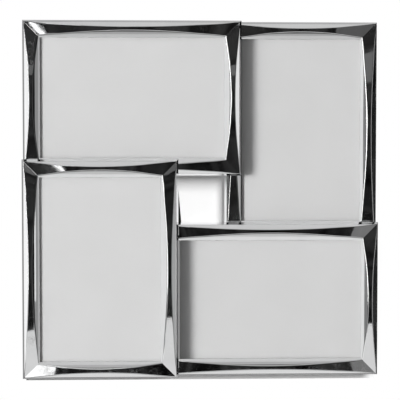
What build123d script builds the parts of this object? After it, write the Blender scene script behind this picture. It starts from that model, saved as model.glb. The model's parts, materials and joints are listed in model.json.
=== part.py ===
"""Collage photo frame: four chrome frames in a pinwheel, stepped over one another."""
import os
from math import atan2, degrees, radians, tan

from build123d import *

# Photographs and glazing. X is to the right seen from the front, Z is up, the front faces -Y.
photo_long = 150.0
photo_short = 100.0
sight_lip = 3.0
pocket_play = 0.5
glass_play = 0.3
board_play = 0.25
glass_thickness = 1.2
card_thickness = 0.4
board_thickness = 4.5
pack_clearance = 0.1

# Rails of the mouldings: widths across the rail, then heights and falls through it
rail_width = 14.0
edge_bevel = 1.6
outer_facet = 3.9
inner_facet = 4.6
lip_facet = 1.1
side_depth = 2.6
lip_thickness = 0.6
lip_fall = 0.7
corner_cover = 0.4
arch_rise = 3.3
outer_fall = 2.9

# How the four frames lie over one another
overlap = 13.0
level_gap = 0.1

# Screws that join the frames where they overlap
join_screw_radius = 1.5
join_head_radius = 2.8
join_head_depth = 1.5
join_screw_grip = 5.0
join_screw_inset = 24.0
tip_room = 0.5
fit_clearance = 0.03

# Turn buttons that hold the backboards, and their rivets
button_reach = 8.5
button_width = 6.5
button_thickness = 0.8
button_clearance = 0.1
button_run = 0.05
finger_rib_width = 1.2
finger_rib_height = 0.7
rivet_radius = 1.4
rivet_head_radius = 2.6
rivet_head_height = 0.5
rivet_depth = 5.0
hanger_side_shift = 40.0
leg_side_shift = 62.0
tall_shift = 45.0
wide_shift = 40.0

# Easel leg and its hinge on the back of the upper left frame
leg_top_width = 58.0
leg_length = 214.0
leg_flare = 5.0
leg_thickness = 2.5
leg_corner_radius = 8.0
hinge_drop = 48.0
hinge_width = 40.0
hinge_leaf_height = 24.0
hinge_leaf_thickness = 1.0
knuckle_radius = 2.0
knuckle_gap = 0.3
side_knuckle = 10.0
leaf_relief = 0.6
pin_radius = 1.0
pin_run = 0.05
pin_head_radius = 1.6
pin_head_length = 0.8
hinge_rivet_radius = 1.2
hinge_rivet_head_radius = 2.2
hinge_rivet_head_height = 0.6
hinge_rivet_inset = 6.0

# Keyhole hanger on the upper edge, and what keeps the frames square to the wall
hanger_width = 34.0
hanger_height = 9.6
hanger_thickness = 1.2
keyhole_radius = 3.0
keyhole_slot = 3.4
keyhole_rise = 2.9
keyhole_drop = 1.0
hanger_corner_radius = 1.5
hanger_recess_depth = 3.0
hanger_recess_margin = 1.0
hanger_screw_spread = 24.0
hanger_screw_radius = 1.2
hanger_head_radius = 2.2
hanger_head_depth = 0.9
hanger_screw_length = 6.0
spacer_radius = 4.2
spigot_radius = 1.8
spigot_depth = 4.0
bumper_radius = 4.0
bumper_thickness = 2.0
bumper_edge = 0.6

# Sizes that follow from the ones above, with depths from the back face of a moulding
pocket_wall = rail_width - sight_lip - pocket_play
pocket_depth = glass_thickness + card_thickness + board_thickness + pack_clearance
lip_depth = pocket_depth + lip_thickness
bend_depth = lip_depth + lip_fall
corner_depth = pocket_depth + corner_cover
crest_depth = corner_depth + arch_rise
shoulder_depth = crest_depth - outer_fall
frame_long = photo_long - 2 * sight_lip + 2 * rail_width
frame_short = photo_short - 2 * sight_lip + 2 * rail_width
overall = frame_long + frame_short - overlap
level_step = crest_depth + level_gap
overall_depth = 3 * level_step - level_gap + bumper_thickness
wall_y = overall_depth / 2
rear_y = wall_y - bumper_thickness
rivet_line = pocket_wall / 2
join_line = (frame_long - frame_short) / 2
join_head_taper = degrees(atan2(join_head_radius - join_screw_radius, join_head_depth))
hanger_head_taper = degrees(atan2(hanger_head_radius - hanger_screw_radius, hanger_head_depth))

long_offset = (overall - frame_long) / 2
short_offset = (overall - frame_short) / 2


class Frame:
    """One of the four frames: its place in the pinwheel and its level off the wall."""

    def __init__(self, name, center_x, center_z, width, height, level, buttons):
        self.name = name
        self.center_x = center_x
        self.center_z = center_z
        self.width = width
        self.height = height
        self.back_y = rear_y - level * level_step
        self.buttons = buttons

    def plane(self, depth=0.0):
        """Plane parallel to the back face, seen from the front, depth in front of it."""
        origin = (self.center_x, self.back_y - depth, self.center_z)
        return Plane(origin=origin, x_dir=(1, 0, 0), z_dir=(0, -1, 0))

    def local(self, x, z):
        return (x - self.center_x, z - self.center_z)

    def rivet_point(self, side, shift):
        """Centre of a turn button on the middle of the rail wall, in the plane's own axes."""
        across = self.height / 2 - rivet_line
        along = self.width / 2 - rivet_line
        return {
            "bottom": (shift, -across),
            "right": (along, shift),
            "top": (shift, across),
            "left": (-along, shift),
        }[side]

    def rivets(self):
        return [self.rivet_point(*button) for button in self.buttons]


# Each turn button is (rail, shift along the rail from its middle)
frames = {
    "upper_left": Frame(
        "upper_left", -long_offset, short_offset, frame_long, frame_short, 1,
        [("left", 0.0), ("top", -hanger_side_shift), ("bottom", leg_side_shift)],
    ),
    "upper_right": Frame(
        "upper_right", short_offset, long_offset, frame_short, frame_long, 0,
        [("left", -tall_shift), ("top", 0.0), ("right", 0.0), ("bottom", 0.0)],
    ),
    "lower_left": Frame(
        "lower_left", -short_offset, -long_offset, frame_short, frame_long, 2,
        [("left", tall_shift), ("left", -tall_shift), ("bottom", 0.0)],
    ),
    "lower_right": Frame(
        "lower_right", long_offset, -short_offset, frame_long, frame_short, 1,
        [("bottom", -wide_shift), ("bottom", wide_shift), ("right", 0.0)],
    ),
}

sides = ("bottom", "right", "top", "left")

# Joining screws: the two frames, rear one first, and the screws' places (x, z)
half = overall / 2
joints = {
    "left_pair": ("upper_left", "lower_left", [
        (join_screw_inset - half, join_line),
        (frame_short - join_screw_inset - half, join_line),
    ]),
    "top_pair": ("upper_right", "upper_left", [
        (join_line, half - join_screw_inset),
        (join_line, half - frame_short + join_screw_inset),
    ]),
    "right_pair": ("upper_right", "lower_right", [
        (half - join_screw_inset, -join_line),
        (half - frame_short + join_screw_inset, -join_line),
    ]),
    "bottom_pair": ("lower_right", "lower_left", [
        (-join_line, join_screw_inset - half),
        (-join_line, frame_short - join_screw_inset - half),
    ]),
}

# Corners that stand off the wall: the frame and the corner's place (x, z)
corner = half - rivet_line
spacer_points = {
    "upper_left": (-corner, corner),
    "lower_left": (-corner, -corner),
    "lower_right": (corner, -corner),
}
bumper_points = list(spacer_points.values()) + [(corner, corner)]

# Hinge of the leg and the hanger, both on the upper left frame
leg_frame = frames["upper_left"]
board_back_y = leg_frame.back_y - pack_clearance
hinge_x = leg_frame.center_x
hinge_y = board_back_y + knuckle_radius
hinge_z = half - hinge_drop
leaf_front_y = hinge_y + knuckle_radius - hinge_leaf_thickness
hanger_x = 0.0
hanger_z = half - rivet_line
hanger_points = [(hanger_x + shift * hanger_screw_spread / 2, hanger_z) for shift in (-1, 1)]
hanger_recess_width = 2 * (keyhole_radius + hanger_recess_margin)
hanger_recess_height = hanger_height - hanger_recess_margin
hinge_rivet_shift = hinge_width / 2 - hinge_rivet_inset
leaf_middle = (knuckle_radius + leaf_relief + hinge_leaf_height) / 2
fixed_rivet_places = [(-hinge_rivet_shift, leaf_middle), (hinge_rivet_shift, leaf_middle)]
leg_rivet_places = [(x, -y) for x, y in fixed_rivet_places]
hinge_rivet_points = [(hinge_x + x, hinge_z + y) for x, y in fixed_rivet_places]

os.makedirs("parts", exist_ok=True)


def side_turn(side):
    """Turn that brings the foot of a frame round to one of its sides, in degrees."""
    return sides.index(side) * 360 / len(sides)


def save(part, name):
    part.label = name
    export_step(part, f"parts/{name}.step")


def rail_section(plane, outer):
    """Profile across a rail: upright side, edge bevel, outer facet, crest, inner and lip facets."""
    inner = outer + rail_width
    section_plane = Plane(origin=plane.origin, x_dir=plane.y_dir, z_dir=plane.x_dir)
    with BuildSketch(section_plane) as section:
        with BuildLine():
            Polyline(
                (outer, 0),
                (outer, side_depth),
                (outer + edge_bevel, shoulder_depth),
                (outer + edge_bevel + outer_facet, crest_depth),
                (inner - lip_facet - inner_facet, crest_depth),
                (inner - lip_facet, bend_depth),
                (inner, lip_depth),
                (inner, 0),
                close=True,
            )
        make_face()
    return section.sketch


def rail_arch(plane, along):
    """Profile along a rail: the front rises in one arc from corner to corner."""
    end = along / 2
    arch_plane = Plane(origin=plane.origin, x_dir=plane.x_dir, z_dir=-plane.y_dir)
    with BuildSketch(arch_plane) as arch:
        with BuildLine():
            Polyline((-end, corner_depth), (-end, 0), (end, 0), (end, corner_depth))
            ThreePointArc((end, corner_depth), (0, crest_depth), (-end, corner_depth))
        make_face()
    return arch.sketch


def make_rail(plane, along, across):
    """One mitred rail, lying along the plane's X at the foot of the frame."""
    outer = -across / 2
    section = rail_section(plane, outer)
    arch = rail_arch(plane, along)
    with BuildPart() as rail:
        with BuildSketch(plane):
            with BuildLine():
                Polyline(
                    (-along / 2, outer),
                    (along / 2, outer),
                    (along / 2 - rail_width, outer + rail_width),
                    (rail_width - along / 2, outer + rail_width),
                    close=True,
                )
            make_face()
        extrude(amount=crest_depth)
        extrude(section, amount=along / 2, both=True, mode=Mode.INTERSECT)
        extrude(arch, amount=across / 2, both=True, mode=Mode.INTERSECT)
    return rail.part


def bore(plane, points, radius, depth, taper=0.0):
    """Round holes from the plane into the piece being built."""
    with BuildSketch(plane) as rounds:
        with Locations(*points):
            Circle(radius)
    extrude(rounds.sketch, amount=depth, taper=taper, mode=Mode.SUBTRACT)


def grow(plane, points, radius, depth, taper=0.0):
    """Round shanks, heads or posts from the plane, added to the piece being built."""
    with BuildSketch(plane) as rounds:
        with Locations(*points):
            Circle(radius)
    extrude(rounds.sketch, amount=depth, taper=taper)


def make_moulding(frame):
    """Four mitred rails in one ring, with the pocket behind the lip and every hole it needs."""
    rails = []
    for side in sides:
        upright = side in ("left", "right")
        along = frame.height if upright else frame.width
        across = frame.width if upright else frame.height
        rails.append(make_rail(frame.plane().rotated((0, -side_turn(side), 0)), along, across))
    with BuildPart() as moulding:
        add(rails)
        with BuildSketch(frame.plane()):
            Rectangle(frame.width - 2 * pocket_wall, frame.height - 2 * pocket_wall)
        extrude(amount=pocket_depth, mode=Mode.SUBTRACT)
        bore(frame.plane(), frame.rivets(), rivet_radius + fit_clearance, rivet_depth)
        for rear, front, points in joints.values():
            places = [frame.local(*point) for point in points]
            if rear == frame.name:
                head = join_head_radius + fit_clearance
                bore(frame.plane(), places, join_screw_radius + fit_clearance, crest_depth)
                bore(frame.plane(), places, head, join_head_depth, join_head_taper)
            if front == frame.name:
                bore(frame.plane(), places, join_screw_radius + fit_clearance, join_screw_grip + tip_room)
        if frame.name in spacer_points:
            place = frame.local(*spacer_points[frame.name])
            bore(frame.plane(), [place], spigot_radius + fit_clearance, spigot_depth + tip_room)
        if frame is leg_frame:
            places = [frame.local(*point) for point in hanger_points]
            bore(frame.plane(), places, hanger_screw_radius + fit_clearance, hanger_screw_length)
            with BuildSketch(frame.plane()):
                with Locations(frame.local(hanger_x, hanger_z)):
                    Rectangle(hanger_recess_width, hanger_recess_height)
            extrude(amount=hanger_recess_depth, mode=Mode.SUBTRACT)
    return moulding.part


def make_sheet(frame, depth, thickness, play):
    """A flat sheet in the frame's pocket: the glass, the card or the backboard."""
    with BuildPart() as sheet:
        with BuildSketch(frame.plane(depth)):
            Rectangle(frame.width - 2 * (pocket_wall + play), frame.height - 2 * (pocket_wall + play))
        extrude(amount=thickness)
    return sheet.part


def make_backboard(frame):
    with BuildPart() as backboard:
        add(make_sheet(frame, pack_clearance, board_thickness, board_play))
        if frame is leg_frame:
            places = [frame.local(*point) for point in hinge_rivet_points]
            bore(frame.plane(pack_clearance), places, hinge_rivet_radius + fit_clearance, board_thickness)
    return backboard.part


def make_turn_button(frame, side, shift):
    """Flat button on its rivet, pointing over the backboard, with a rib for the finger."""
    place = Location((*frame.rivet_point(side, shift), 0), side_turn(side))
    front = frame.plane(-button_clearance)
    back = frame.plane(-button_clearance - button_thickness)
    with BuildPart() as button:
        with BuildSketch(back):
            with Locations(place):
                with Locations((0, button_reach / 2)):
                    SlotCenterToCenter(button_reach, button_width, rotation=90)
        extrude(amount=button_thickness)
        with BuildSketch(back):
            with Locations(place):
                with Locations((0, button_reach)):
                    SlotOverall(button_width - finger_rib_width, finger_rib_width)
        extrude(amount=-finger_rib_height)
        with BuildSketch(front):
            with Locations(place):
                Circle(rivet_radius + button_run)
        extrude(amount=-button_thickness, mode=Mode.SUBTRACT)
    return button.part


def make_button_rivets(frame):
    head_depth = -button_thickness - 2 * button_clearance
    with BuildPart() as rivets:
        head = frame.plane(head_depth - rivet_head_height)
        grow(frame.plane(head_depth), frame.rivets(), rivet_radius, rivet_depth - head_depth)
        grow(head, frame.rivets(), rivet_head_radius, rivet_head_height)
    return rivets.part


def make_joining_screws(rear, points):
    """Countersunk screws from the back of the rear frame into the frame in front of it."""
    places = [rear.local(*point) for point in points]
    with BuildPart() as screws:
        grow(rear.plane(), places, join_screw_radius, level_step + join_screw_grip)
        grow(rear.plane(), places, join_head_radius, join_head_depth, join_head_taper)
    return screws.part


def make_spacer(frame):
    """Post that brings a raised corner down to the wall, on a spigot in the moulding."""
    place = frame.local(*spacer_points[frame.name])
    height = rear_y - frame.back_y
    with BuildPart() as spacer:
        grow(frame.plane(-height), [place], spacer_radius, height)
        grow(frame.plane(), [place], spigot_radius, spigot_depth)
    return spacer.part


def make_wall_bumpers():
    rear = Plane(origin=(0, rear_y, 0), x_dir=(-1, 0, 0), z_dir=(0, 1, 0))
    places = [(-x, z) for x, z in bumper_points]
    with BuildPart() as bumpers:
        grow(rear, places, bumper_radius, bumper_thickness)
        chamfer(bumpers.edges().group_by(Axis.Y)[-1], bumper_edge)
    return bumpers.part


def make_hanger_plate():
    """Steel plate with a keyhole, over a recess that takes the head of the wall screw."""
    place = leg_frame.local(hanger_x, hanger_z)
    places = [leg_frame.local(*point) for point in hanger_points]
    back = leg_frame.plane(-hanger_thickness)
    with BuildPart() as hanger:
        with BuildSketch(back):
            with Locations(place):
                RectangleRounded(hanger_width, hanger_height, hanger_corner_radius)
                with Locations((0, -keyhole_drop)):
                    Circle(keyhole_radius, mode=Mode.SUBTRACT)
                with Locations((0, keyhole_rise / 2 - keyhole_drop)):
                    SlotCenterToCenter(keyhole_rise, keyhole_slot, rotation=90, mode=Mode.SUBTRACT)
        extrude(amount=hanger_thickness)
        bore(back, places, hanger_screw_radius + fit_clearance, hanger_thickness)
        bore(back, places, hanger_head_radius + fit_clearance, hanger_head_depth, hanger_head_taper)
    return hanger.part


def make_hanger_screws():
    places = [leg_frame.local(*point) for point in hanger_points]
    back = leg_frame.plane(-hanger_thickness)
    with BuildPart() as screws:
        grow(back, places, hanger_screw_radius, hanger_screw_length)
        grow(back, places, hanger_head_radius, hanger_head_depth, hanger_head_taper)
    return screws.part


def make_easel_leg():
    """Tapered board that hangs from the hinge and widens to its foot."""
    top = -knuckle_radius - leaf_relief
    foot = top - leg_length
    foot_width = leg_top_width + 2 * leg_length * tan(radians(leg_flare))
    back = Plane(origin=(hinge_x, leaf_front_y, hinge_z), x_dir=(1, 0, 0), z_dir=(0, -1, 0))
    with BuildPart() as leg:
        with BuildSketch(back) as outline:
            with BuildLine():
                Polyline(
                    (-leg_top_width / 2, top),
                    (leg_top_width / 2, top),
                    (foot_width / 2, foot),
                    (-foot_width / 2, foot),
                    close=True,
                )
            make_face()
            fillet(outline.vertices().group_by(Axis.Y)[0], leg_corner_radius)
        extrude(amount=leg_thickness)
        bore(back, leg_rivet_places, hinge_rivet_radius + fit_clearance, leg_thickness)
    return leg.part


def make_hinge_leaf(plate_back_y, sign, knuckles, places):
    """Leaf of the hinge: a plate on one side of the pin and the knuckles that carry it."""
    back = Plane(origin=(hinge_x, plate_back_y, hinge_z), x_dir=(1, 0, 0), z_dir=(0, -1, 0))
    near = knuckle_radius + leaf_relief
    with BuildPart() as leaf:
        with BuildSketch(back):
            with Locations((0, sign * (near + hinge_leaf_height) / 2)):
                Rectangle(hinge_width, hinge_leaf_height - near)
            for center, length in knuckles:
                with Locations((center, sign * near / 2)):
                    Rectangle(length, near)
        extrude(amount=hinge_leaf_thickness)
        for center, length in knuckles:
            end = Plane(origin=(hinge_x + center - length / 2, hinge_y, hinge_z), z_dir=(1, 0, 0))
            with BuildSketch(end):
                Circle(knuckle_radius)
            extrude(amount=length)
        across = Plane(origin=(hinge_x - hinge_width / 2, hinge_y, hinge_z), z_dir=(1, 0, 0))
        with BuildSketch(across):
            Circle(pin_radius + pin_run)
        extrude(amount=hinge_width, mode=Mode.SUBTRACT)
        bore(back, places, hinge_rivet_radius + fit_clearance, hinge_leaf_thickness)
    return leaf.part


def make_hinge_pin():
    shank = hinge_width + 2 * knuckle_gap
    left_end = Plane(origin=(hinge_x - shank / 2, hinge_y, hinge_z), z_dir=(1, 0, 0))
    with BuildPart() as pin:
        grow(left_end, [(0, 0)], pin_radius, shank)
        grow(left_end.offset(-pin_head_length), [(0, 0)], pin_head_radius, pin_head_length)
        grow(left_end.offset(shank), [(0, 0)], pin_head_radius, pin_head_length)
    return pin.part


def make_hinge_rivets(plate_back_y, places, length):
    """Rivets with their heads on the back of a leaf."""
    back = Plane(origin=(hinge_x, plate_back_y, hinge_z), x_dir=(1, 0, 0), z_dir=(0, -1, 0))
    with BuildPart() as rivets:
        head = back.offset(-hinge_rivet_head_height)
        grow(back, places, hinge_rivet_radius, length)
        grow(head, places, hinge_rivet_head_radius, hinge_rivet_head_height)
    return rivets.part


for frame in frames.values():
    card_depth = pack_clearance + board_thickness
    glass_depth = card_depth + card_thickness
    save(make_moulding(frame), f"{frame.name}_moulding")
    save(make_sheet(frame, glass_depth, glass_thickness, glass_play), f"{frame.name}_glass")
    save(make_sheet(frame, card_depth, card_thickness, pocket_play), f"{frame.name}_photo_card")
    save(make_backboard(frame), f"{frame.name}_backboard")
    save(make_button_rivets(frame), f"{frame.name}_button_rivets")
    for number, (side, shift) in enumerate(frame.buttons, start=1):
        name = f"{frame.name}_turn_button_{number}"
        save(make_turn_button(frame, side, shift), name)
        x, z = frame.rivet_point(side, shift)
        print(name, frame.center_x + x, frame.back_y, frame.center_z + z)

for name, (rear, front, points) in joints.items():
    save(make_joining_screws(frames[rear], points), f"{name}_screws")

for name in spacer_points:
    save(make_spacer(frames[name]), f"{name}_wall_spacer")
save(make_wall_bumpers(), "wall_bumpers")

save(make_hanger_plate(), "hanger_plate")
save(make_hanger_screws(), "hanger_screws")

side_center = (hinge_width - side_knuckle) / 2
fixed_knuckles = [(-side_center, side_knuckle), (side_center, side_knuckle)]
moving_knuckles = [(0, hinge_width - 2 * (side_knuckle + knuckle_gap))]
fixed_back_y = board_back_y + hinge_leaf_thickness
moving_back_y = leaf_front_y + hinge_leaf_thickness
save(make_hinge_leaf(fixed_back_y, 1, fixed_knuckles, fixed_rivet_places), "hinge_fixed_leaf")
save(make_hinge_leaf(moving_back_y, -1, moving_knuckles, leg_rivet_places), "hinge_moving_leaf")
save(make_hinge_pin(), "hinge_pin")
fixed_rivet_length = hinge_leaf_thickness + board_thickness
leg_rivet_length = hinge_leaf_thickness + leg_thickness
save(make_hinge_rivets(fixed_back_y, fixed_rivet_places, fixed_rivet_length), "hinge_board_rivets")
save(make_hinge_rivets(moving_back_y, leg_rivet_places, leg_rivet_length), "hinge_leg_rivets")
save(make_easel_leg(), "easel_leg")
print("leg hinge", hinge_x, hinge_y, hinge_z)
print("hanger hole", hanger_x, leg_frame.back_y + hanger_thickness, hanger_z - keyhole_drop)
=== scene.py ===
import json
import math

import bpy
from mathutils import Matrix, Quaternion, Vector


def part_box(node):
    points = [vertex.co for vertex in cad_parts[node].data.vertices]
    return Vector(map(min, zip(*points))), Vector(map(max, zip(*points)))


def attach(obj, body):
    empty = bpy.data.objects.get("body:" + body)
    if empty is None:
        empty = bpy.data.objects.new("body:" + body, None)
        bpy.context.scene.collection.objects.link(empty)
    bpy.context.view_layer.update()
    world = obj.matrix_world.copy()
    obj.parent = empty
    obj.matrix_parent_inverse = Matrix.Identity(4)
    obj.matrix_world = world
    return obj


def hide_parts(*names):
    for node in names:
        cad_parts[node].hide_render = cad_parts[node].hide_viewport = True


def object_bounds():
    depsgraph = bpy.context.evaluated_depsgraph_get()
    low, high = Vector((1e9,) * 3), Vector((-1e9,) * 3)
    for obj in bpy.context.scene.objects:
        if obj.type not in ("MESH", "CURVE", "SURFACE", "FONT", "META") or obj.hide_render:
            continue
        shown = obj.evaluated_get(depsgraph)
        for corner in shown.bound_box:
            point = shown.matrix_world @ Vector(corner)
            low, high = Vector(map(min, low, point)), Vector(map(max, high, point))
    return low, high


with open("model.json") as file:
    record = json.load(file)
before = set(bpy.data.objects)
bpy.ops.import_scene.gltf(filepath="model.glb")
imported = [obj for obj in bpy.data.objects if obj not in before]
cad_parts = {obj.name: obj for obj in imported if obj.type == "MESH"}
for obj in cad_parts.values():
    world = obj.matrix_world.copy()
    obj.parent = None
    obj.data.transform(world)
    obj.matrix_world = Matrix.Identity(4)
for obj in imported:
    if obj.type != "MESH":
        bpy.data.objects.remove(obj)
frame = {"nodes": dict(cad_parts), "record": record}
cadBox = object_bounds()
nodes = frame["nodes"]
bodyOf = {node: body for body, members in frame["record"]["behaviour"]["bodies"].items() for node in members}
slotOf = {part["node"]: part["material_slot"] for part in frame["record"]["subparts"]}
frameNames = ("upper_left", "upper_right", "lower_left", "lower_right")
mm = 0.001
weldGap = 0.002 * mm  # points closer than this become one
print("frame loaded:", len(nodes), "nodes")


# picking, shaping and dressing an object
def clearPick():
    bpy.ops.object.select_all(action="DESELECT")


def pick(obj):
    clearPick()
    obj.select_set(True)
    bpy.context.view_layer.objects.active = obj


def inEditMode(obj, steps):
    pick(obj)
    bpy.ops.object.mode_set(mode="EDIT")
    bpy.ops.mesh.select_all(action="SELECT")
    steps()
    bpy.ops.object.mode_set(mode="OBJECT")


def applyModifier(obj, kind, **settings):
    pick(obj)
    modifier = obj.modifiers.new(kind.title(), kind)
    for key, value in settings.items():
        setattr(modifier, key, value)
    bpy.ops.object.modifier_apply(modifier=modifier.name)


def settle(obj):
    pick(obj)
    bpy.ops.object.transform_apply(location=True, rotation=True, scale=True)


def smooth(obj, angle):
    pick(obj)
    bpy.ops.object.shade_smooth_by_angle(angle=math.radians(angle))


def cutAway(obj, cutter):
    applyModifier(obj, "BOOLEAN", object=cutter, operation="DIFFERENCE", solver="EXACT")
    bpy.data.objects.remove(cutter)


def dress(piece, node, material):
    piece.data.materials.clear()
    piece.data.materials.append(material)
    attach(piece, bodyOf[node])
    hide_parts(node)


# building a material from nodes
def linear(hexCode):
    channels = [int(hexCode[i:i + 2], 16) / 255 for i in (1, 3, 5)]
    return [c / 12.92 if c <= 0.04045 else ((c + 0.055) / 1.055) ** 2.4 for c in channels] + [1.0]


def perMm(size):
    return 1 / (size * mm)  # texture scale that gives features of this many millimetres


def addNode(tree, kind, inputs=None, **settings):
    node = tree.nodes.new(kind)
    for key, value in settings.items():
        setattr(node, key, value)
    for socket, value in (inputs or {}).items():
        if isinstance(value, bpy.types.NodeSocket):
            tree.links.new(value, node.inputs[socket])
        else:
            node.inputs[socket].default_value = value
    return node


def addPlace(tree):
    return addNode(tree, "ShaderNodeTexCoord").outputs["Object"]


def addNoise(tree, place, size, detail):
    return addNode(tree, "ShaderNodeTexNoise", {
        "Vector": place, "Scale": perMm(size), "Detail": detail}).outputs["Fac"]


def addTones(tree, value, dark, pale):
    ramp = addNode(tree, "ShaderNodeValToRGB", {"Fac": value})
    ramp.color_ramp.elements[0].color = linear(dark)
    ramp.color_ramp.elements[1].color = linear(pale)
    return ramp.outputs["Color"]


def addRange(tree, value, least, most, start=0.0, end=1.0):
    return addNode(tree, "ShaderNodeMapRange", {
        "Value": value, "From Min": start, "From Max": end,
        "To Min": least, "To Max": most}).outputs["Result"]


def addBump(tree, height, strength, depth):
    return addNode(tree, "ShaderNodeBump", {
        "Height": height, "Strength": strength, "Distance": depth * mm}).outputs["Normal"]


def addMath(tree, operation, *values):
    return addNode(tree, "ShaderNodeMath", dict(enumerate(values)), operation=operation).outputs[0]


def addMixedColor(tree, factor, first, second):
    mix = addNode(tree, "ShaderNodeMix", {"Factor": factor, 6: first, 7: second}, data_type="RGBA")
    return mix.outputs[2]  # a Mix node's colours are its inputs 6 and 7 and its output 2


def startMaterial(name):
    material = bpy.data.materials.new(name)
    material.use_nodes = True
    material.node_tree.nodes.clear()
    return material, material.node_tree


def endMaterial(tree, surface):
    addNode(tree, "ShaderNodeOutputMaterial", {"Surface": surface})


def endPrincipled(tree, inputs):
    endMaterial(tree, addNode(tree, "ShaderNodeBsdfPrincipled", inputs).outputs["BSDF"])


# chrome plate on cast zinc: a mirror with faint ripple from the casting and wiped smears
def makeChrome():
    material, tree = startMaterial("chrome_plate")
    place = addPlace(tree)
    smear = addNoise(tree, place, 11, 4.0)
    speck = addNoise(tree, place, 1.6, 2.0)
    ripple = addNoise(tree, place, 16, 1.0)
    wiped = addMath(tree, "MULTIPLY", smear, speck)
    endPrincipled(tree, {
        "Base Color": addTones(tree, smear, "#e4e5e6", "#eeeeee"),
        "Metallic": 1.0,
        "Roughness": addRange(tree, wiped, 0.03, 0.085, start=0.2, end=0.42),
        "Normal": addBump(tree, ripple, 0.8, 0.05)})
    return material


# float glass: clear, with a little wiped haze; lamps reach the card through it
def makeGlass():
    material, tree = startMaterial("float_glass")
    wipe = addNoise(tree, addPlace(tree), 35, 3.0)
    glass = addNode(tree, "ShaderNodeBsdfPrincipled", {
        "Base Color": linear("#ffffff"),
        "Roughness": addRange(tree, wipe, 0.0, 0.02, start=0.45, end=0.8),
        "IOR": 1.52,
        "Transmission Weight": 1.0})
    clear = addNode(tree, "ShaderNodeBsdfTransparent", {"Color": linear("#fafafa")}).outputs["BSDF"]
    path = addNode(tree, "ShaderNodeLightPath")
    lit = addNode(tree, "ShaderNodeMixShader", {
        0: path.outputs["Is Shadow Ray"], 1: glass.outputs["BSDF"], 2: clear})
    mixed = addNode(tree, "ShaderNodeMixShader", {
        0: path.outputs["Is Diffuse Ray"], 1: lit.outputs["Shader"], 2: clear})
    endMaterial(tree, mixed.outputs["Shader"])
    return material


# uncoated light grey card: matt, with a fine felt mark and slow cloudiness
def makeCard():
    material, tree = startMaterial("grey_card")
    place = addPlace(tree)
    cloud = addNoise(tree, place, 28, 2.0)
    felt = addNoise(tree, place, 1.1, 5.0)
    both = addRange(tree, addMath(tree, "ADD", cloud, felt), 0.0, 1.0, start=0.7, end=1.3)
    endPrincipled(tree, {
        "Base Color": addTones(tree, both, "#d5d5d5", "#d9d9d9"),
        "Roughness": 0.82,
        "Specular IOR Level": 0.3,
        "Normal": addBump(tree, felt, 0.2, 0.05)})
    return material


# fibreboard faced with black paper: dull black, pressed linen-like grain, paler rubbed spots
def makeBoard():
    material, tree = startMaterial("black_board")
    place = addPlace(tree)
    grain = addNoise(tree, place, 0.9, 6.0)
    rub = addNoise(tree, place, 22, 5.0)
    endPrincipled(tree, {
        "Base Color": addTones(tree, rub, "#121212", "#232322"),
        "Roughness": addRange(tree, grain, 0.62, 0.88),
        "Normal": addBump(tree, grain, 0.5, 0.12)})
    return material


# pressed steel with a nickel wash: warm grey sheen, rolled streaks along the strip
def makePressedSteel():
    material, tree = startMaterial("pressed_steel")
    place = addPlace(tree)
    drawnOut = addNode(tree, "ShaderNodeMapping", {"Vector": place, "Scale": (1.0, 1.0, 0.08)})
    streak = addNoise(tree, drawnOut.outputs["Vector"], 0.7, 4.0)
    stain = addNoise(tree, place, 7, 3.0)
    endPrincipled(tree, {
        "Base Color": addTones(tree, stain, "#a9a59c", "#c9c6be"),
        "Metallic": 1.0,
        "Roughness": addRange(tree, streak, 0.2, 0.46),
        "Normal": addBump(tree, streak, 0.25, 0.03)})
    return material


# zinc plated steel: bluish bright grey with small crystals of the plating
def makeZincSteel():
    material, tree = startMaterial("zinc_steel")
    crystal = addNode(tree, "ShaderNodeTexVoronoi", {
        "Vector": addPlace(tree), "Scale": perMm(0.8)}).outputs["Distance"]
    endPrincipled(tree, {
        "Base Color": addTones(tree, crystal, "#b4bac0", "#d2d6da"),
        "Metallic": 1.0,
        "Roughness": addRange(tree, crystal, 0.2, 0.4)})
    return material


# moulded black ABS with a spark-eroded skin, and soft rubber that dulls and picks up dust
def makeBlackMoulded(name, dark, pale, leastRough, mostRough, grit):
    material, tree = startMaterial(name)
    place = addPlace(tree)
    skin = addNoise(tree, place, grit, 3.0)
    dust = addNoise(tree, place, 4, 5.0)
    endPrincipled(tree, {
        "Base Color": addTones(tree, dust, dark, pale),
        "Roughness": addRange(tree, skin, leastRough, mostRough),
        "Normal": addBump(tree, skin, 0.4, 0.05)})
    return material


materials = {
    "chrome_plate": makeChrome(),
    "float_glass": makeGlass(),
    "grey_card": makeCard(),
    "black_board": makeBoard(),
    "pressed_steel": makePressedSteel(),
    "zinc_steel": makeZincSteel(),
    "black_plastic": makeBlackMoulded("black_abs", "#0b0b0c", "#181819", 0.38, 0.55, 0.25),
    "bumper_rubber": makeBlackMoulded("soft_rubber", "#141414", "#262523", 0.7, 0.95, 0.5),
}
for name, obj in nodes.items():
    obj.data.materials.clear()
    obj.data.materials.append(materials[slotOf[name]])
print("materials made:", len(materials))

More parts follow.
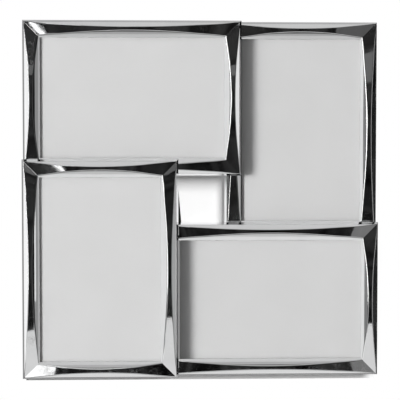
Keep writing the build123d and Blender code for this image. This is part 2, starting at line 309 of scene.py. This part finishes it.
# mouldings: each rail is a grid rolled into its section, in millimetres from the outer edge and the back
moulding = {
    "railWidth": 14.0,
    "pocketWall": 10.5,
    "pocketDepth": 6.2,
    "sideDepth": 2.6,
    "edgeBevel": 1.6,
    "outerFacet": 3.9,
    "shoulderDepth": 7.0,
    "leastFacet": 0.12,  # what is left of the outer facet at the corners
    "crestDepth": 9.9,
    "archRise": 3.3,
    "cornerBlend": 22.0,  # where long and short rails ease to one height at the mitre
    "innerRun": 5.7,  # from the inner ridge at mid rail to the lip
    "innerSlope": 0.43,  # at the ridge; it steepens towards the lip
    "lipDepth": 6.8,
    "softEdge": 0.3,
    "outerRidge": 0.4,  # half widths of the softened ridges
    "innerRidge": 0.6,
    "holdEdge": 0.12,  # narrow strips that keep the faces' shading flat
    "softShare": 0.25,  # the most that soft edges and strips take of the outer facet
    "ridgeShare": 0.4,
    "lowHoldShare": 0.1,
    "highHoldShare": 0.05,
    "mitreEdge": 0.4,  # how far the fronts round over into one another at the mitres
    "stations": 96,
    "mitrePasses": 6,
    "edgeSteps": 3,
    "ridgeSteps": 6,
    "innerSteps": 7,
    "smoothAngle": 14.0,
}
innerFall = moulding["crestDepth"] - moulding["lipDepth"]
innerBend = (innerFall - moulding["innerSlope"] * moulding["innerRun"]) / moulding["innerRun"] ** 2


def archDepth(along, length, otherLength):
    sizes = moulding
    near = min(along, length - along)
    own, other = ((1 - 2 * near / size) ** 2 for size in (length, otherLength))
    ease = min(1.0, max(0.0, 1 + (sizes["railWidth"] - near) / sizes["cornerBlend"]))
    share = ease ** 2 * (3 - 2 * ease) / 2  # both rails go half way
    return sizes["crestDepth"] - sizes["archRise"] * (own + (other - own) * share)


def innerDepth(across):
    sizes = moulding
    run = across - (sizes["railWidth"] - sizes["innerRun"])
    return sizes["crestDepth"] - sizes["innerSlope"] * run - innerBend * run ** 2


def innerRidgeAcross(depth):
    sizes = moulding
    slope, fall = sizes["innerSlope"], sizes["crestDepth"] - depth
    run = (math.sqrt(slope ** 2 + 4 * innerBend * fall) - slope) / (2 * innerBend)
    return sizes["railWidth"] - sizes["innerRun"] + run


def softCorner(before, corner, after, steps):
    points = []
    for i in range(steps + 1):
        t = i / steps
        first, second, third = (1 - t) ** 2, 2 * t * (1 - t), t ** 2
        points.append(tuple(first * a + second * b + third * c for a, b, c in zip(before, corner, after)))
    return points


def toward(start, end, distance):
    gap = math.dist(start, end)
    return tuple(a + (b - a) * distance / gap for a, b in zip(start, end))


def outerPoints(depth):
    sizes = moulding
    soft, hold = sizes["softEdge"], sizes["holdEdge"]
    foot = (0.0, sizes["sideDepth"])
    low = min(sizes["shoulderDepth"], depth - sizes["leastFacet"])
    rise = (low - foot[1]) / (sizes["shoulderDepth"] - foot[1])
    shoulder = (sizes["edgeBevel"] * rise, low)
    facetSlope = (sizes["crestDepth"] - sizes["shoulderDepth"]) / sizes["outerFacet"]
    ridge = (shoulder[0] + (depth - low) / facetSlope, depth)
    facet = math.dist(shoulder, ridge)
    softFacet = min(soft, sizes["softShare"] * facet)
    ridgeFacet = min(sizes["outerRidge"], sizes["ridgeShare"] * facet)
    flatStart = (ridge[0] + sizes["outerRidge"], depth)
    return [
        (soft, 0.0),
        (0.0, soft),
        *softCorner((0.0, foot[1] - soft), foot, toward(foot, shoulder, soft), sizes["edgeSteps"]),
        toward(foot, shoulder, soft + hold),
        toward(shoulder, foot, softFacet + hold),
        *softCorner(toward(shoulder, foot, softFacet), shoulder, toward(shoulder, ridge, softFacet),
                    sizes["edgeSteps"]),
        toward(shoulder, ridge, softFacet + sizes["lowHoldShare"] * facet),
        toward(ridge, shoulder, ridgeFacet + sizes["highHoldShare"] * facet),
        *softCorner(toward(ridge, shoulder, ridgeFacet), ridge, flatStart, sizes["ridgeSteps"]),
        (flatStart[0] + hold, depth),
    ]


def innerPoints(depth):
    sizes = moulding
    soft, width, wall = sizes["softEdge"], sizes["railWidth"], sizes["pocketWall"]
    ridge = innerRidgeAcross(depth)
    half = min(sizes["innerRidge"], (width - ridge) / 2)
    start, end = ridge + half, width - soft / 2
    slopes = [start + (end - start) * i / sizes["innerSteps"] for i in range(1, sizes["innerSteps"] + 1)]
    return [
        (ridge - half - sizes["holdEdge"], depth),
        *softCorner((ridge - half, depth), (ridge, depth), (start, innerDepth(start)), sizes["ridgeSteps"]),
        *((across, innerDepth(across)) for across in slopes),
        (width, sizes["lipDepth"] - soft / 2),
        (width, sizes["pocketDepth"]),
        (wall, sizes["pocketDepth"]),
        (wall, soft),
        (wall - soft, 0.0),
    ]


def railSection(depth):
    return outerPoints(depth) + innerPoints(depth)


def railPoint(side, box, along, across, depth):
    low, high = box
    run, inward = along * mm, across * mm
    x, z = {
        "bottom": (low.x + run, low.z + inward),
        "right": (high.x - inward, low.z + run),
        "top": (high.x - run, high.z - inward),
        "left": (low.x + inward, high.z - run),
    }[side]
    return Vector((x, high.y - depth * mm, z))


def makeRail(side, box):
    low, high = box
    length, otherLength = (high.x - low.x) / mm, (high.z - low.z) / mm
    if side in ("left", "right"):
        length, otherLength = otherLength, length
    count = len(railSection(moulding["crestDepth"]))
    last = moulding["stations"]
    mitre = moulding["mitreEdge"] / length
    clearPick()
    bpy.ops.mesh.primitive_grid_add(x_subdivisions=last, y_subdivisions=count, size=1)
    rail = bpy.context.object
    for vertex in rail.data.vertices:
        column = round((vertex.co.x + 0.5) * last)  # the grid runs from -0.5 to 0.5
        index = round((vertex.co.y + 0.5) * count) % count
        step = {1: mitre, last - 1: 1 - mitre}.get(column, column / last)  # 0 at one mitre, 1 at the other
        along = step * length
        for _ in range(moulding["mitrePasses"]):  # the mitre moves the station in, and that moves the ridge
            across, depth = railSection(archDepth(along, length, otherLength))[index]
            along = across + step * (length - 2 * across)
        vertex.co = railPoint(side, box, along, across, depth)
    return rail


def screwCenters(node):
    low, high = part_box(node)
    middle = (low + high) / 2
    sideways = high.x - low.x > high.z - low.z
    half = min(high.x - low.x, high.z - low.z) / 2
    if sideways:
        return [Vector((x, high.y, middle.z)) for x in (low.x + half, high.x - half)]
    return [Vector((middle.x, high.y, z)) for z in (low.z + half, high.z - half)]


joinScrews = {
    "nodes": ("left_pair_screws", "top_pair_screws", "right_pair_screws", "bottom_pair_screws"),
    "headRadius": 2.83,
    "shankRadius": 1.53,
    "headDepth": 1.5,
    "over": 0.3,  # how far the cutter stands out of the back
    "sameLevel": 0.2,  # heads this near to a moulding's back are sunk into it
    "sides": 48,
}


def sinkHoles(ring, back):
    sizes = joinScrews
    flare = (sizes["headRadius"] - sizes["shankRadius"]) / sizes["headDepth"] * sizes["over"]
    depth = (sizes["headDepth"] + sizes["over"]) * mm
    for node in sizes["nodes"]:
        for center in screwCenters(node):
            if abs(center.y - back) > sizes["sameLevel"] * mm:
                continue
            spot = center + Vector((0, sizes["over"] * mm - depth / 2, 0))
            bpy.ops.mesh.primitive_cone_add(
                vertices=sizes["sides"], depth=depth, location=spot, rotation=(math.pi / 2, 0, 0),
                radius1=(sizes["headRadius"] + flare) * mm, radius2=sizes["shankRadius"] * mm)
            cutAway(ring, bpy.context.object)


hangerRecess = {"width": 8.0, "height": 8.6, "depth": 3.0, "over": 0.5}


def sinkRecess(ring, back):
    sizes = hangerRecess
    low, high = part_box("hanger_plate")
    middle = (low + high) / 2
    deep = sizes["depth"] + sizes["over"]
    bpy.ops.mesh.primitive_cube_add(
        size=1, location=(middle.x, back + (sizes["over"] - deep / 2) * mm, middle.z),
        scale=(sizes["width"] * mm, deep * mm, sizes["height"] * mm))
    cutAway(ring, bpy.context.object)


def closeRing():
    bpy.ops.mesh.remove_doubles(threshold=weldGap)
    bpy.ops.mesh.normals_make_consistent(inside=False)


for name in frameNames:
    node = name + "_moulding"
    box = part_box(node)
    rails = [makeRail(side, box) for side in ("bottom", "right", "top", "left")]
    pick(rails[0])
    for rail in rails:
        rail.select_set(True)
    bpy.ops.object.join()
    ring = bpy.context.object
    ring.name = name + "_moulding_chrome"
    settle(ring)
    inEditMode(ring, closeRing)
    sinkHoles(ring, box[1].y)
    if name == "upper_left":
        sinkRecess(ring, box[1].y)
    smooth(ring, moulding["smoothAngle"])
    dress(ring, node, materials["chrome_plate"])
    print("moulding made:", node, len(ring.data.vertices))

# panes: a hair clear of the card and the lip, with ground edges
pane = {"clear": 0.06, "edge": 0.25}
for name in frameNames:
    node = name + "_glass"
    low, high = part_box(node)
    size = high - low - Vector((0, 2 * pane["clear"] * mm, 0))
    clearPick()
    bpy.ops.mesh.primitive_cube_add(size=1, location=(low + high) / 2, scale=size)
    sheet = bpy.context.object
    sheet.name = name + "_pane"
    settle(sheet)
    applyModifier(sheet, "BEVEL", width=pane["edge"] * mm, segments=2, limit_method="ANGLE")
    dress(sheet, node, materials["float_glass"])
print("panes made")

# hardware and boards: copies of the solids with eased edges, by a bevel in millimetres and its segments
hardware = {
    "edges": {
        "turn_button": (0.22, 3),
        "button_rivets": (0.4, 4),
        "wall_spacer": (0.5, 4),
        "wall_bumpers": (0.35, 3),
        "hanger_plate": (0.18, 2),
        "hanger_screws": (0.12, 2),
        "hinge_fixed_leaf": (0.15, 2),
        "hinge_moving_leaf": (0.15, 2),
        "hinge_pin": (0.35, 4),
        "hinge_board_rivets": (0.42, 4),
        "hinge_leg_rivets": (0.42, 4),
        "pair_screws": (0.12, 2),
        "easel_leg": (0.35, 3),
        "backboard": (0.25, 2),
    },
    "flatAngle": 1.0,  # faces that bend less than this become one
    "bevelAngle": 35.0,
    "smoothAngle": 32.0,
}
crossSlot = {
    "long": 3.4,
    "wide": 0.75,
    "deep": 0.9,
    "shares": {"hanger_screws": 0.72, **{node: 1.0 for node in joinScrews["nodes"]}},
}


def mergeCopy():
    bpy.ops.mesh.remove_doubles(threshold=weldGap)
    bpy.ops.mesh.dissolve_limited(angle_limit=math.radians(hardware["flatAngle"]))


def easedCopy(node, width, segments):
    piece = nodes[node].copy()
    piece.data = nodes[node].data.copy()
    for key in list(piece.keys()):
        del piece[key]
    piece.parent = None
    piece.name = node + "_finished"
    bpy.context.collection.objects.link(piece)
    inEditMode(piece, mergeCopy)
    applyModifier(piece, "BEVEL", width=width * mm, segments=segments, limit_method="ANGLE",
                  angle_limit=math.radians(hardware["bevelAngle"]), use_clamp_overlap=True)
    smooth(piece, hardware["smoothAngle"])
    return piece


def cutCross(piece, center, share):
    sizes = crossSlot
    for turn in (0, math.pi / 2):
        bpy.ops.mesh.primitive_cube_add(
            size=1, location=center, rotation=(0, turn, 0),
            scale=(sizes["long"] * share * mm, 2 * sizes["deep"] * share * mm, sizes["wide"] * share * mm))
        cutAway(piece, bpy.context.object)


for node in nodes:
    edges = [edge for kind, edge in hardware["edges"].items() if kind in node]
    if not edges:
        continue
    piece = easedCopy(node, *edges[0])
    if node in crossSlot["shares"]:
        for center in screwCenters(node):
            cutCross(piece, center, crossSlot["shares"][node])
    dress(piece, node, materials[slotOf[node]])
print("hardware eased")

# a white card close behind the part, in millimetres, and a pale floor far below, in metres
backdrop = {
    "gap": 0.3,
    "below": 5.8,
    "wallGlow": 0.14,
    "mirrored": 0.2,
    "floorSize": 6.0,
    "floorDrop": 0.75,
    "floorGlow": 0.6,
}


# emulsion with a fine roller mark, a little brighter to the eye and in mirrors than its lamp makes it
def makeWallPaint(name, glow, seeThroughBack):
    material, tree = startMaterial(name)
    roller = addNoise(tree, addPlace(tree), 6, 3.0)
    paint = addNode(tree, "ShaderNodeBsdfDiffuse", {"Color": addTones(tree, roller, "#f6f6f6", "#fbfbfb")})
    path = addNode(tree, "ShaderNodeLightPath")
    seen = addMath(tree, "MAXIMUM", path.outputs["Is Camera Ray"], path.outputs["Is Transmission Ray"])
    direct = addMath(tree, "MULTIPLY", seen, glow)
    strength = addMath(tree, "MULTIPLY_ADD", path.outputs["Is Glossy Ray"], backdrop["mirrored"], direct)
    shine = addNode(tree, "ShaderNodeEmission", {"Color": linear("#ffffff"), "Strength": strength})
    surface = addNode(tree, "ShaderNodeAddShader", {
        0: paint.outputs["BSDF"], 1: shine.outputs["Emission"]}).outputs["Shader"]
    if seeThroughBack:
        clear = addNode(tree, "ShaderNodeBsdfTransparent")
        side = addNode(tree, "ShaderNodeNewGeometry")
        surface = addNode(tree, "ShaderNodeMixShader", {
            0: side.outputs["Backfacing"], 1: surface, 2: clear.outputs["BSDF"]}).outputs["Shader"]
    endMaterial(tree, surface)
    return material


low, high = cadBox
wallLow = low.z - backdrop["below"] * mm
clearPick()
bpy.ops.mesh.primitive_plane_add(
    size=1, location=((low.x + high.x) / 2, high.y + backdrop["gap"] * mm, (wallLow + high.z) / 2),
    rotation=(math.pi / 2, 0, 0))
backWall = bpy.context.object
backWall.name = "white_wall"
backWall.scale = (high.x - low.x, high.z - wallLow, 1)
settle(backWall)
backWall.data.materials.append(makeWallPaint("wall_emulsion", backdrop["wallGlow"], True))
bpy.ops.mesh.primitive_plane_add(size=backdrop["floorSize"], location=(0, 0, low.z - backdrop["floorDrop"]))
floor = bpy.context.object
floor.name = "pale_floor"
settle(floor)
floor.data.materials.append(makeWallPaint("floor_paint", backdrop["floorGlow"], False))
floor.visible_glossy = False
for part in (backWall, floor):
    part.visible_shadow = False
    part.visible_diffuse = False
print("backdrop set")

# softboxes out of the picture in a dim room: each has its azimuths to the right and elevations up, in degrees
# from the middle of the part, then its brightness and, for two of them, a roll
studio = {
    "distance": 6.0,
    "roomDark": "#070707",
    "roomPale": "#343434",
    "roomPatches": 22.0,
    "softboxes": {
        "left_edge": ((-15.0, -11.0), (-0.97, -0.27), 1.5, -21),
        "left_streak": ((-16.8, -12.8), (6.4, 7.1), 1.8, -21),
        "left_high": ((-12.5, -8.5), (9, 14), 2.0),
        "left_line": ((-17, -10), (1.8, 4.2), 1.6),
        "left_near": ((-36, -21), (0, 13), 1.0),
        "left_glint": ((-35, -30), (-8, 12), 5.0),
        "left_under": ((-36, -21), (-7, 0), 0.5),
        "left_corner": ((-21, -15), (-13, -7), 1.3),
        "left_sill": ((-42, -12), (-17.5, -13), 0.9),
        "left_slot": ((-48, -36), (-12, 13), 0.22),
        "left_mid": ((-66, -48), (-14, 13), 0.84),
        "left_far": ((-92, -66), (-14, 13), 1.1),
        "right_mid": ((47, 56), (-12, 9), 0.28),
        "right_spot": ((47, 51), (-8, -3), 0.6),
        "right_strip": ((56, 67), (-12, 9), 0.47),
        "right_far": ((72, 76), (-12, 9), 0.4),
        "right_edge": ((76, 80.5), (-12, 9), 0.9),
        "right_corner": ((16, 24), (-2, 10), 0.085),
        "right_low": ((16, 24), (-14, -2), 0.18),
        "right_sill": ((22, 44), (-18, -12.5), 0.55),
        "high_strip": ((-8, 13), (8, 10.5), 0.12),
        "top_left": ((-14, -2), (17, 36), 0.8),
        "top_right": ((-2, 22), (17, 36), 0.52),
        "top_dim": ((-14, 22), (36, 41), 0.22),
        "top_mid": ((-14, 22), (41, 48), 0.48),
        "top_high": ((-32, 38), (48, 88), 0.66),
        "floor_left": ((-14, -4), (-26, -14), 0.75),
        "floor_near": ((-4, 22), (-26, -12.8), 0.75),
        "floor_mid": ((-16, 22), (-46, -36), 0.15),
        "floor_step": ((-20, 24), (-52, -46), 0.42),
        "floor_far": ((-24, 26), (-60, -52), 0.6),
        "floor_below": ((-42, 48), (-88, -60), 0.8),
        "behind_left": ((-150, -110), (-14, 13), 0.3),
        "behind_top": ((150, 210), (30, 72), 0.5),
        "behind_below": ((150, 210), (-72, -30), 0.35),
        "behind_middle": ((150, 210), (-28, 28), 0.8),
    },
    "keys": {  # they light cards and boards, and the chrome doesn't show them
        "front": ((-54, -40), (-10, 12), 36.0),
        "front_high": ((-62, -48), (12, 40), 3.5),
        "front_low": ((-62, -48), (-40, -10), 4.0),
        "back": ((205, 235), (15, 45), 14.0),
    },
    "wallLamp": ((13, 43), (7, 37), 13.0),
}


def aim(azimuth, elevation, distance):
    turn, lift = math.radians(azimuth), math.radians(elevation)
    level = math.cos(lift)
    return Vector((math.sin(turn) * level, -math.cos(turn) * level, math.sin(lift))) * distance


def addSoftbox(name, azimuths, elevations, brightness, roll=0.0):
    distance = studio["distance"]
    elevation = sum(elevations) / 2
    center = aim(sum(azimuths) / 2, elevation, distance)
    turn = (-center).to_track_quat("-Z", "Y") @ Quaternion((0, 0, 1), math.radians(roll))
    bpy.ops.object.light_add(type="AREA", location=center, rotation=turn.to_euler())
    lamp = bpy.context.object
    lamp.name = "softbox_" + name
    halfWide = math.radians(azimuths[1] - azimuths[0]) / 2
    halfHigh = math.radians(elevations[1] - elevations[0]) / 2
    lamp.data.shape = "RECTANGLE"
    lamp.data.size = 2 * distance * math.tan(halfWide) * math.cos(math.radians(elevation))
    lamp.data.size_y = 2 * distance * math.tan(halfHigh)
    lamp.data.energy = brightness * math.pi * lamp.data.size * lamp.data.size_y  # power for this brightness
    lamp.visible_camera = False
    return lamp


# the softboxes leave the wall to a lamp of its own, so the part's shadow on it is one soft shadow
notWall = bpy.data.collections.new("lit_by_softboxes")
notWall.objects.link(backWall)
notWall.collection_objects[0].light_linking.link_state = "EXCLUDE"
wallOnly = bpy.data.collections.new("lit_by_wall_lamp")
wallOnly.objects.link(backWall)
for name, placing in studio["softboxes"].items():
    addSoftbox(name, *placing).light_linking.receiver_collection = notWall
for name, placing in studio["keys"].items():
    key = addSoftbox(name, *placing)
    key.light_linking.receiver_collection = notWall
    key.visible_glossy = False
addSoftbox("wall", *studio["wallLamp"]).light_linking.receiver_collection = wallOnly


# a dim room with paler patches for the chrome to show, and white to the eye
def makeRoom():
    world = bpy.data.worlds.new("studio_room")
    world.use_nodes = True
    tree = world.node_tree
    tree.nodes.clear()
    patches = addNode(tree, "ShaderNodeTexNoise", {
        "Vector": addNode(tree, "ShaderNodeTexCoord").outputs["Generated"],
        "Scale": studio["roomPatches"], "Detail": 3.0})
    spread = addRange(tree, patches.outputs["Fac"], 0.0, 1.0, start=0.36, end=0.64)
    room = addMixedColor(tree, spread, linear(studio["roomDark"]), linear(studio["roomPale"]))
    path = addNode(tree, "ShaderNodeLightPath")
    shown = addMixedColor(tree, path.outputs["Is Camera Ray"], room, linear("#ffffff"))
    sky = addNode(tree, "ShaderNodeBackground", {"Color": shown})
    addNode(tree, "ShaderNodeOutputWorld", {"Surface": sky.outputs["Background"]})
    return world


bpy.context.scene.world = makeRoom()
print("studio set")

# camera a little left of and above the middle, as the photograph was taken
view = {"place": (-0.035, -0.950, 0.0386), "toward": (0.0355, 1.0, -0.0414), "lens": 108.4, "sensor": 36.0}
bpy.ops.object.camera_add(location=view["place"])
camera = bpy.context.object
camera.rotation_euler = Vector(view["toward"]).to_track_quat("-Z", "Y").to_euler()
camera.data.lens = view["lens"]
camera.data.sensor_width = view["sensor"]
bpy.context.scene.camera = camera
bpy.context.scene.view_settings.view_transform = "Standard"
print("camera set")
